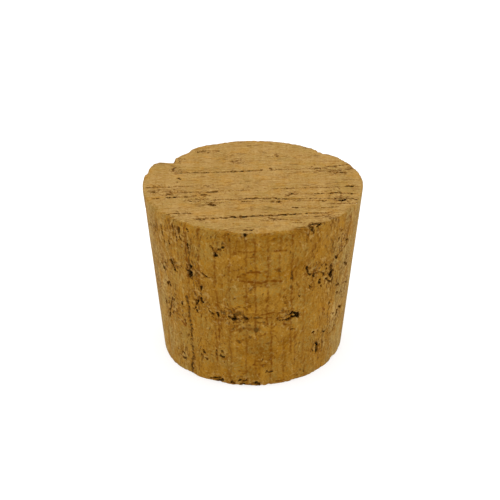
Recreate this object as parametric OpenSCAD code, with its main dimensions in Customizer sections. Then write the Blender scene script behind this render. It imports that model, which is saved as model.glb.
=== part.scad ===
// Tapered stopper cut in one piece from natural cork bark.
// It stands on its small end, on the XY plane, with the taper's axis on Z.
// Azimuths are degrees about Z from -Y, positive towards +X. All sizes are in millimetres.

/* [Body] */
// Diameter of the large end
large_d = 46.4; // [36:0.2:60]
// Diameter of the small end
small_d = 39.6; // [30:0.2:50]
// Height from the small end to the large end
height = 38; // [28:0.5:60]

/* [Edges] */
// Break of the worn edge round the large end
large_edge = 0.35; // [0.1:0.05:0.8]
// Break of the worn edge round the small end
small_edge = 0.4; // [0.1:0.05:0.8]

/* [Broken rim] */
// Azimuth of the lump missing from the large end's rim
lump_at = -129; // [-180:1:180]
// How far the lump's broken face leans outwards on its way down
lump_lean = 26; // [15:1:40]
// Azimuth of the small nick in the large end's rim
nick_at = 139; // [-180:1:180]
// How far the nick's broken face leans outwards on its way down
nick_lean = 32; // [15:1:45]
// Azimuth of the flake missing from the small end's edge
flake_at = 66; // [-180:1:180]
// How far the flake's broken face leans outwards on its way up
flake_lean = 38; // [20:1:50]

/* [Growth rings] */
// Turn of the growth rings about Z, away from the X axis
ring_turn = 3.8; // [-10:0.2:10]
// Width of an open ring line
ring_width = 0.45; // [0.2:0.05:0.8]
// Depth of an open ring line, as a share of half its width
ring_fill = 0.7; // [0.3:0.05:0.9]
// Width of the ring line that runs down the flank
seam_width = 0.5; // [0.2:0.05:0.8]

/* [Pits] */
// Depth of the shallow pits, as a share of half their own width
shallow_fill = 0.55; // [0.3:0.05:0.7]
// Depth of the deep pits, as a share of half their own width
deep_fill = 0.85; // [0.7:0.05:0.9]

/* [Hidden] */

cork_tan = [0.70, 0.50, 0.26];
large_r = large_d / 2;
small_r = small_d / 2;
taper = atan((large_r - small_r) / height);
round_fn = 96;
pit_fn = 24;
// A cut's prism reaches this far past the faces that it breaks
reach = 12;

// Broken outlines in plan: [along the rim, in from the rim], from one end to the other
lump_outline = [[5.4, -1], [4.4, 0.6], [2.3, 3.2], [-0.5, 1.2], [-3, 1.5], [-6, 1.35], [-8.6, 1.2]];
nick_outline = [[3.4, -0.5], [1.6, 0.6], [-0.4, 1], [-2.6, -0.5]];
flake_outline = [[4.6, -0.5], [2.6, 0.6], [-1, 1], [-2.4, 0.5], [-4.4, -0.5]];

// Open growth-ring lines on the large end:
// [offset from the axis, start and end as shares of the half chord there]
ring_lines = [
    [6.6, -0.7, 0.06],
    [6.9, 0.2, 0.44],
    [7.1, 0.6, 0.96],
    [17.7, -0.84, -0.5],
    [-1.5, -0.97, -0.5],
    [-2.9, -0.62, -0.3],
    [-2.9, 0.5, 0.8],
    [-5.6, 0.34, 0.86],
    [-7.3, -0.1, 0.88],
    [-12.3, 0.42, 0.74],
    [-13, -0.8, -0.62],
    [-15.2, -0.55, 0.84],
];

// Pits on the large end: [along X and along Y as shares of the radius, length, width, fill, turn]
face_pits = [
    [-0.73, -0.29, 2.6, 1, shallow_fill, 0],
    [-0.59, -0.275, 1.4, 0.9, shallow_fill, 0],
    [-0.36, -0.43, 2.2, 0.9, shallow_fill, -20],
    [0.88, -0.05, 1.4, 0.8, shallow_fill, 0],
    [0.79, -0.35, 1.8, 0.8, shallow_fill, 0],
    [0.2, -0.37, 1.2, 0.8, shallow_fill, 0],
    [-0.04, -0.92, 1.8, 0.8, shallow_fill, 0],
];

// Pits in the flank: [azimuth, share of the height, length, width, fill, turn from upright]
flank_pits = [
    [-35, 0.71, 2.9, 1.5, deep_fill, -14],
    [-47.5, 0.7, 3, 1.1, shallow_fill, 24],
    [-54, 0.56, 1.8, 1.1, shallow_fill, 40],
    [-54, 0.44, 5.5, 0.8, shallow_fill, -28],
    [-19, 0.85, 2.2, 1.2, deep_fill, 10],
    [-16.5, 0.895, 1.7, 0.9, shallow_fill, -60],
    [-25.5, 0.71, 2.8, 0.6, shallow_fill, 68],
    [-30.5, 0.52, 3, 0.6, shallow_fill, -40],
    [-11, 0.46, 2.4, 1.1, shallow_fill, 80],
    [-3.5, 0.46, 1.2, 0.9, shallow_fill, 0],
    [23, 0.455, 3.2, 1.4, deep_fill, 84],
    [16, 0.448, 1.8, 0.6, shallow_fill, 84],
    [30, 0.74, 1.7, 1, shallow_fill, 14],
    [35, 0.68, 2.4, 0.9, shallow_fill, 78],
    [39.5, 0.615, 2, 1, shallow_fill, 20],
    [47.5, 0.67, 3.2, 1.5, deep_fill, 8],
    [46.5, 0.6, 2.2, 0.8, shallow_fill, 60],
    [56, 0.77, 5, 0.6, shallow_fill, -66],
    [42, 0.18, 2.8, 0.9, deep_fill, 4],
    [55, 0.235, 5, 0.6, shallow_fill, -60],
    [-47, 0.1, 2, 0.7, shallow_fill, 60],
    [-20.5, 0.21, 2.4, 0.7, shallow_fill, 50],
];

// Crumbled places in the edges: [azimuth, length along the edge, width]
large_edge_gaps = [
    [-3.5, 1.6, 1.1],
    [32.5, 4.4, 1.6],
];
small_edge_gaps = [
    [-22, 3.6, 1],
    [-8, 2.6, 1.2],
    [3, 1.5, 1.2],
];

// The ring line that runs down the flank: azimuth at the large and at the small end
seam_top_at = -36;
seam_foot_at = -40;

// Radius of the flank at height z
function flank_r(z) = small_r + (large_r - small_r) * z / height;

// Point of the flank at an azimuth and a height
function flank_point(azimuth, z) = [flank_r(z) * sin(azimuth), -flank_r(z) * cos(azimuth), z];

// Radius of a round-bottomed cut from its width where it opens, and its depth as a share of half that width
function cut_r(width, fill) = width * (1 + fill * fill) / (4 * fill);

// How far outside the surface such a cut's axis lies
function cut_out(width, fill) = cut_r(width, fill) - fill * width / 2;

// Places its children on the flank: Z runs up the flank and -Y points out of it
module on_flank(azimuth, z) {
    rotate([0, 0, azimuth])
        translate([0, -flank_r(z), z])
            rotate([taper, 0, 0])
                children();
}

// Round-bottomed cut that thins out to both ends: it lies along Z and opens towards -Y
module grain_cut(length, width, fill) {
    r = cut_r(width, fill);
    half = length / (fill * width) * r;
    translate([0, -cut_out(width, fill), 0]) {
        cylinder(h = half, r1 = r, r2 = 0, $fn = pit_fn);
        mirror([0, 0, 1]) cylinder(h = half, r1 = r, r2 = 0, $fn = pit_fn);
    }
}

// The turned blank, with both edges broken
module blank() {
    rotate_extrude($fn = round_fn)
        polygon([
            [0, 0],
            [small_r - small_edge, 0],
            [flank_r(small_edge), small_edge],
            [flank_r(height - large_edge), height - large_edge],
            [large_r - large_edge, height],
            [0, height],
        ]);
}

// Breaks an outline out of an edge; the broken face leans outwards as it goes down
module break_out(outline, lean) {
    first = outline[0];
    last = outline[len(outline) - 1];
    outside = [[last[0], -reach], [first[0], -reach]];
    rotate([-lean, 0, 0])
        translate([0, 0, -reach])
            linear_extrude(height = 1.5 * reach)
                polygon(concat(outline, outside));
}

module missing_lump() {
    rotate([0, 0, lump_at])
        translate([0, -large_r, height])
            break_out(lump_outline, lump_lean);
}

module rim_nick() {
    rotate([0, 0, nick_at])
        translate([0, -large_r, height])
            break_out(nick_outline, nick_lean);
}

module edge_flake() {
    rotate([0, 0, flake_at])
        translate([0, -small_r, 0])
            mirror([0, 0, 1])
                break_out(flake_outline, flake_lean);
}

// One open growth-ring line across the large end
module ring_line(offset, from, to) {
    chord = sqrt(large_r * large_r - offset * offset);
    start = from * chord;
    end = to * chord;
    rotate([0, 0, ring_turn])
        translate([(start + end) / 2, offset, height])
            rotate([0, 90, 0])
                rotate([0, 0, -90])
                    grain_cut(end - start, ring_width, ring_fill);
}

// The open growth-ring line down the flank
module flank_seam() {
    top = flank_point(seam_top_at, height);
    foot = flank_point(seam_foot_at, 0);
    run = top - foot;
    middle_at = (seam_top_at + seam_foot_at) / 2;
    translate(foot + cut_out(seam_width, ring_fill) * [sin(middle_at), -cos(middle_at), 0])
        rotate([0, acos(run[2] / norm(run)), atan2(run[1], run[0])])
            cylinder(h = norm(run), r = cut_r(seam_width, ring_fill), $fn = pit_fn);
}

module face_pit(x_share, y_share, length, width, fill, turn) {
    translate([x_share * large_r, y_share * large_r, height])
        rotate([0, 0, turn])
            rotate([0, 90, 0])
                rotate([0, 0, -90])
                    grain_cut(length, width, fill);
}

module flank_pit(azimuth, share, length, width, fill, turn) {
    on_flank(azimuth, share * height)
        rotate([0, -turn, 0])
            grain_cut(length, width, fill);
}

// A crumbled place in an edge of this radius: a cut laid along the edge, opening outwards
module edge_gap(azimuth, edge_r, length, width) {
    rotate([0, 0, azimuth])
        translate([0, -edge_r, 0])
            rotate([0, 90, 0])
                grain_cut(length, width, shallow_fill);
}

module stopper() {
    color(cork_tan)
        difference() {
            blank();
            missing_lump();
            rim_nick();
            edge_flake();
            flank_seam();
            for (line = ring_lines) ring_line(line[0], line[1], line[2]);
            for (p = face_pits) face_pit(p[0], p[1], p[2], p[3], p[4], p[5]);
            for (p = flank_pits) flank_pit(p[0], p[1], p[2], p[3], p[4], p[5]);
            translate([0, 0, height])
                for (g = large_edge_gaps) edge_gap(g[0], large_r - large_edge, g[1], g[2]);
            for (g = small_edge_gaps) edge_gap(g[0], small_r - small_edge, g[1], g[2]);
        }
}

stopper();
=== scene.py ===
"""A tapered stopper of natural cork: its pitted body, its finish and the studio."""
import math

import bmesh
import bpy
import numpy as np
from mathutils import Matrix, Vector, noise


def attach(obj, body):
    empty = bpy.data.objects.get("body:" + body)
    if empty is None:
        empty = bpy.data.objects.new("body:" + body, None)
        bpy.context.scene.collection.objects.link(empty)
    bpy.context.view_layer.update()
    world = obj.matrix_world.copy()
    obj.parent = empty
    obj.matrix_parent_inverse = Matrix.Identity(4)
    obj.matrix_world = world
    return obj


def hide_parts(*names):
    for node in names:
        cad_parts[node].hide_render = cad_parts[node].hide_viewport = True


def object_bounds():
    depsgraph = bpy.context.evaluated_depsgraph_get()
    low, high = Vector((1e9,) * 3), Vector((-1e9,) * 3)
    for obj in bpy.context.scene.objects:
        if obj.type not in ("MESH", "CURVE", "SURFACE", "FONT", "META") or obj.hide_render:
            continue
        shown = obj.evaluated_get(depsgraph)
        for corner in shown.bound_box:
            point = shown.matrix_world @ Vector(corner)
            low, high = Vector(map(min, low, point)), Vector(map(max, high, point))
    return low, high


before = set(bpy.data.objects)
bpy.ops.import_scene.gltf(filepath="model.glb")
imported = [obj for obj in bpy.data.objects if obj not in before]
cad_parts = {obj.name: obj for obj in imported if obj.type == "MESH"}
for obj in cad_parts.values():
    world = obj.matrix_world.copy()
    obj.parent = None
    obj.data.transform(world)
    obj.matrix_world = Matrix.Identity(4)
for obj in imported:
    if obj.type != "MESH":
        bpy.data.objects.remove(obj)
cad_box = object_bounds()

MM = 0.001
TAU = 2 * math.pi

# ------------------------------------------------------------------ sizes, in millimetres, from the frame
# The frame's edges are bevelled, so the flank is measured where it is widest this near each end
EDGE_ZONE = 0.6


def blank_sizes():
    """Height of the stopper, and the radii at which its flank would meet the small and the large end."""
    points = np.array([v.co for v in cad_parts["stopper"].data.vertices]) / MM
    z = points[:, 2]
    radius = np.hypot(points[:, 0], points[:, 1])

    def widest(zone):
        place = np.flatnonzero(zone)[np.argmax(radius[zone])]
        return z[place], radius[place]

    low_z, low_r = widest(z < z.min() + EDGE_ZONE)
    high_z, high_r = widest(z > z.max() - EDGE_ZONE)
    slope = (high_r - low_r) / (high_z - low_z)
    height = float(z.max() - z.min())
    return height, float(low_r - slope * low_z), float(high_r + slope * (height - high_z))


HEIGHT, SMALL_R, LARGE_R = blank_sizes()


def flank_r(z):
    """Radius of the flank at height z."""
    return SMALL_R + (LARGE_R - SMALL_R) * z / HEIGHT


def on_flank(azimuth, z):
    """A point of the flank. Azimuths are degrees from -Y, positive towards +X."""
    turn = math.radians(azimuth)
    return (flank_r(z) * math.sin(turn), -flank_r(z) * math.cos(turn), z)


def on_large_end(x, y):
    """A point of the large end."""
    return (x, y, HEIGHT)


# ------------------------------------------------------------------ what the saw and the bark left open
# Broken rim of the large end: azimuth, how far in from the rim the break starts
RIM_LOSSES = [
    (-117, 0), (-118.5, 0.2), (-119.4, 0.6), (-120.2, 1.5), (-121, 2.3), (-122, 2.8), (-124, 2.8),
    (-126, 2.2), (-129, 1.45), (-138, 1.35), (-140, 1.1), (-143, 0.45), (-145, 0.3), (-148, 0.1),
    (-154, 0.05), (-157, 0.25), (-161, 0.35), (-165, 0.1), (-172, 0), (127, 0), (132, 0.2), (134, 0.45),
    (136, 0.95), (138, 0.65), (140, 0.85), (142, 0.35), (145, 0.05), (148, 0.25), (151, 0),
]
# How far in the wall of a break leans for each millimetre of depth
RIM_LEAN = 0.49
# Flake gone from the small end's edge: azimuth, how far in from the edge
FOOT_LOSSES = [
    (56, 0), (58, 0.1), (59, 0.5), (62, 0.6), (65, 0.55), (67, 0.25), (71, 0.35), (75, 0.3), (80, 0),
]
FOOT_LEAN = 0.8

# How far the two hand-cut ends stand off a true circle: azimuth, radius more or less than it
LARGE_END_ROUND = [
    (-86, 0.1), (-96, 0.3), (-101, 0.45), (-104.5, 0.25), (-108, 0.6), (-112, 0.75), (-116, 0.9), (-119, 0.7),
    (-122, 0.2), (-140, 0.15), (-155, 0.3), (180, 0.4), (166, 0.45), (150, 0.25), (140, 0.15), (124, 0.4),
    (104, 0.5), (95, 0.4), (84, 0.1),
]
SMALL_END_ROUND = [
    (-80, 0), (-57, 0.3), (-50, 0.2), (-42, -0.05), (-36, 0.2), (-27, 0), (-21, -0.2), (-12, 0.2),
    (-3, -0.05), (4, 0.2), (13, -0.15), (21, -0.05), (30, -0.25), (37, -0.1), (48, -0.3), (56, -0.2), (85, 0),
    (120, 0.15), (160, -0.2), (-160, 0.15), (-120, -0.15),
]

# Where the pale sawn face of the large end stops short of its worn rim: azimuth, how far in from the rim
SAWN_EDGE = [
    (-84, 0.1), (-66, 0.35), (-52, 0.9), (-42, 0.5), (-32, 0.7), (-20, 0.95), (-9, 0.75), (0, 0.35), (9, 0.6),
    (20, 0.55), (30, 0.8), (36, 0.2), (60, 0.1),
]

# Marks on the large end: x, y of the start, x, y of the end, width, darkness
END_MARKS = [
    (-16, 5.4, -12, 5.7, 0.35, 0.8), (-11.6, 5.6, -8, 5.8, 0.3, 0.7), (-7.6, 6, -5.2, 5.9, 0.2, 0.45),
    (-4.6, 6.2, -2.2, 6.5, 0.5, 1), (-2.2, 6.5, 0, 6.8, 0.35, 0.9), (0, 6.8, 2, 7.1, 0.25, 0.7),
    (3.8, 7.3, 4.6, 7, 0.25, 0.6), (3.8, 8.2, 4.2, 7.8, 0.5, 0.6), (5, 7.4, 9.2, 7.5, 0.22, 0.65),
    (11, 7.7, 16, 8, 0.15, 0.45), (13.3, 8, 14, 8, 0.45, 0.85), (15.5, 8.8, 18, 8.9, 0.22, 0.5),
    (17.5, 9.2, 20.5, 9.9, 0.25, 0.6), (20, 7.5, 22, 8.2, 0.35, 0.75), (12, 6.4, 17.5, 6.6, 0.15, 0.4),
    (17.6, 5.6, 20, 6, 0.4, 0.6), (18.2, 7.2, 18.8, 6.4, 0.25, 0.5), (-12.2, 16.9, -10.4, 17.5, 0.4, 0.75),
    (-9.6, 17.7, -7.8, 17.8, 0.15, 0.45), (-7.7, 17.6, -7.2, 17, 0.35, 0.65),
    (-6.5, 16, -2.5, 14.3, 0.25, 0.3), (-4, 12.2, -3, 11.4, 0.35, 0.5), (3.6, 14.2, 4.6, 14.6, 0.4, 0.55),
    (5.2, 15.8, 5.6, 14.3, 0.35, 0.65), (-16.9, 14.2, -16.6, 12, 0.3, 0.65),
    (-16.6, 12, -16.9, 10, 0.25, 0.55), (-16.7, 8, -16.9, 6.4, 0.35, 0.7), (-16.6, 5.6, -16, 4.8, 0.25, 0.5),
    (-15.9, 3, -15.4, 2.3, 0.45, 0.75), (-15.8, 1, -15.6, 0.2, 0.3, 0.55), (-22.6, -2, -20, -1.4, 0.25, 0.65),
    (-21.2, -0.6, -20.6, -1.2, 0.45, 0.55), (-17.6, -1.6, -15.6, -1.2, 0.25, 0.65),
    (-15.2, -1.2, -9.8, -0.8, 0.15, 0.4), (-8.8, -0.4, -8.2, -1, 0.35, 0.45),
    (-21.8, -3.9, -20.2, -4.1, 0.35, 0.85), (-14.8, -4.2, -10.8, -4, 0.3, 0.6),
    (-9.6, -4.2, -7.6, -3.8, 0.4, 0.85), (-7.4, -3.6, -5.5, -3.6, 0.15, 0.5),
    (-2.8, -3.3, -1.2, -2.8, 0.35, 0.65), (-1, -3.2, 2.4, -3.3, 0.15, 0.45), (2.2, -2.6, 3.2, -2.7, 0.4, 0.4),
    (6.7, -2.4, 7.4, -2.2, 0.4, 0.75), (8.2, -2.2, 9, -2, 0.25, 0.45), (11, -2, 16.5, -1.6, 0.18, 0.65),
    (16.5, -1.6, 19, -1.3, 0.15, 0.5), (20, -1.1, 20.9, -1.3, 0.6, 1), (-17.8, -5, -16.8, -5.4, 0.4, 0.7),
    (-17.2, -3.8, -16.7, -4.6, 0.35, 0.45), (-17.7, -6.8, -15.9, -6.6, 0.6, 1),
    (-14, -6.3, -13.5, -6.5, 0.7, 1), (-10.8, -5.2, -9.6, -5.4, 0.35, 0.75), (-10, -6, -9, -5.8, 0.3, 0.6),
    (-13.4, -7.8, -12.4, -8.6, 0.35, 0.6), (-20.8, -7.4, -19.4, -7.2, 0.35, 0.65),
    (-19.8, -8.2, -18.6, -8, 0.2, 0.4), (-8.8, -9.8, -7.8, -10.3, 0.6, 0.9),
    (-9.4, -8.8, -8.4, -9.2, 0.35, 0.7), (-8, -9.2, -5.6, -9.1, 0.2, 0.5), (7.4, -5.2, 8.4, -4.6, 0.5, 0.7),
    (8.8, -5, 12.6, -5, 0.18, 0.55), (13.1, -5, 14.4, -4.8, 0.4, 0.85), (16.1, -4.6, 17.6, -4.2, 0.3, 0.85),
    (17.6, -4.2, 18.8, -4.9, 0.35, 0.8), (20.4, -4.7, 20.8, -5, 0.45, 0.75), (-6, -7.8, -2, -7.6, 0.18, 0.5),
    (-1, -7.2, 1.2, -7.1, 0.3, 0.85), (1.4, -7.1, 4, -6.8, 0.18, 0.55), (4.6, -6.9, 5.4, -7.4, 0.35, 0.9),
    (5.4, -7.3, 9.6, -7.3, 0.25, 0.9), (9.6, -7.3, 16, -7, 0.18, 0.6), (16, -7, 19.5, -6.8, 0.25, 0.75),
    (18.9, -7.3, 19.8, -7, 0.35, 0.85), (20.6, -7, 21.6, -7.8, 0.4, 0.8), (-2.4, -8.7, -1.2, -8.5, 0.35, 0.7),
    (0, -8.4, 2, -8.2, 0.15, 0.4), (4.3, -8.3, 5.3, -8.7, 0.6, 0.65), (5.8, -8.3, 13, -8.2, 0.12, 0.4),
    (13.9, -7.9, 14.6, -8.3, 0.5, 0.8), (17.8, -8, 18.9, -7.9, 0.6, 1), (14.8, -9.8, 20, -9.4, 0.2, 0.55),
    (8.2, -11.4, 9, -11.4, 0.4, 0.8), (10, -11.4, 10.4, -11.5, 0.3, 0.5),
    (11.4, -11.6, 14.6, -11.6, 0.18, 0.35), (14, -11.4, 14.4, -11.6, 0.3, 0.65),
    (15.4, -11.3, 17.4, -11, 0.25, 0.6), (-17.2, -14.4, -15.4, -14, 0.28, 0.65),
    (-14.2, -14, -12.4, -14, 0.3, 0.6), (-11.4, -16.6, -10, -16.8, 0.4, 0.6),
    (-8.2, -16.6, -7.2, -16.5, 0.3, 0.55), (-6.4, -16, -5.2, -16.3, 0.35, 0.75),
    (-4.1, -15.8, -3.4, -16.1, 0.55, 0.95), (-2.5, -15.6, -1.4, -15.7, 0.55, 1),
    (-1.2, -15.5, 0.8, -15.2, 0.3, 0.85), (1, -15.1, 2.6, -15.2, 0.3, 0.75), (3, -15.2, 5, -15.1, 0.45, 0.95),
    (5.4, -15, 6.2, -14.7, 0.45, 0.95), (6.8, -14.6, 8.4, -14.5, 0.4, 0.75),
    (8, -14.4, 11, -14.2, 0.28, 0.85), (11, -14, 12, -13.9, 0.25, 0.4), (13, -13.8, 15, -13.9, 0.25, 0.6),
    (14.4, -14.4, 15.6, -14.9, 0.18, 0.4), (3.2, -16.2, 4.4, -16.5, 0.35, 0.65),
    (4.4, -16.6, 6.6, -17, 0.28, 0.6), (-2, -16.9, 0.5, -17.2, 0.15, 0.35),
    (15.4, -16.2, 16.2, -16.1, 0.25, 0.6), (16.4, -16.4, 17.2, -16.7, 0.3, 0.6),
    (-1.8, -21.6, -0.2, -21.5, 0.45, 0.8), (11.2, -19.3, 12.4, -18.6, 0.5, 0.9),
    (12.6, -18.6, 13.7, -19, 0.5, 0.85), (11.6, -19.9, 12.2, -20.6, 0.6, 1),
]

# Growth rings that stay open as thin lines on the large end: x, y of each point, width, darkness
END_LINES = [
    ([(-15.6, 5.5), (-8, 5.9), (-4, 6.3), (2, 6.9)], 0.24, 0.62),
    ([(4.2, 7.4), (9.5, 7.5), (13.5, 8), (17, 8.9), (21, 9.8)], 0.2, 0.5),
    ([(11, 6.4), (17, 6.5), (20, 6.2)], 0.16, 0.4), ([(15, 8), (18, 7), (22, 8.2)], 0.2, 0.5),
    ([(-22.6, -2), (-17, -1.4), (-13.5, -1.2), (-9, -0.8)], 0.22, 0.5),
    ([(-21.5, -4), (-18, -4.4), (-14.8, -4.2), (-11, -4.2), (-8, -3.8), (-3, -3.1), (2, -3.3)], 0.18, 0.42),
    ([(4, -2.4), (7, -2.2), (11, -2), (15, -1.8), (19, -1.4), (22.4, -1.3)], 0.2, 0.5),
    ([(6.8, -5), (12, -5), (16, -4.6), (18.5, -4.4), (21.5, -5)], 0.2, 0.5),
    ([(-8, -7.8), (-3, -7.7), (1, -7.2), (8, -7.4), (16, -7), (19, -6.9), (22, -7.7)], 0.24, 0.62),
    ([(-20.6, -7.3), (-17.6, -6.9), (-13.4, -6.5), (-9.8, -5.4)], 0.18, 0.4),
    ([(-2.4, -8.8), (3, -8.5), (8, -8.3), (14, -8.2), (18.6, -7.9)], 0.16, 0.42),
    ([(14.5, -9.8), (18, -9.4), (21, -9.3)], 0.2, 0.45),
    ([(-9.2, -9.2), (-5.6, -9.1), (-2, -9.5)], 0.16, 0.4),
    ([(8, -11.5), (14, -11.6), (17.5, -11)], 0.16, 0.36),
    ([(-17.6, -14.5), (-15, -14), (-12.3, -14.2)], 0.22, 0.5),
    ([(-11.4, -16.8), (-6, -16.2), (-1, -15.6), (4, -15.2), (8, -14.5), (12, -14), (14.6, -13.9)], 0.24, 0.6),
    ([(3, -16.2), (6.6, -17), (9.5, -17.3)], 0.22, 0.45), ([(-3, -17), (3, -17.2)], 0.14, 0.3),
    ([(8, -18.4), (11, -18.4), (14.5, -18.2)], 0.2, 0.5),
    ([(-13, 17.2), (-10.4, 17.6), (-7.6, 17.7)], 0.18, 0.42),
    ([(-12.8, -5.8), (-10, -7.6), (-8, -8.4)], 0.16, 0.3), ([(15, -12.6), (19, -12.4)], 0.14, 0.3),
]

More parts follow.
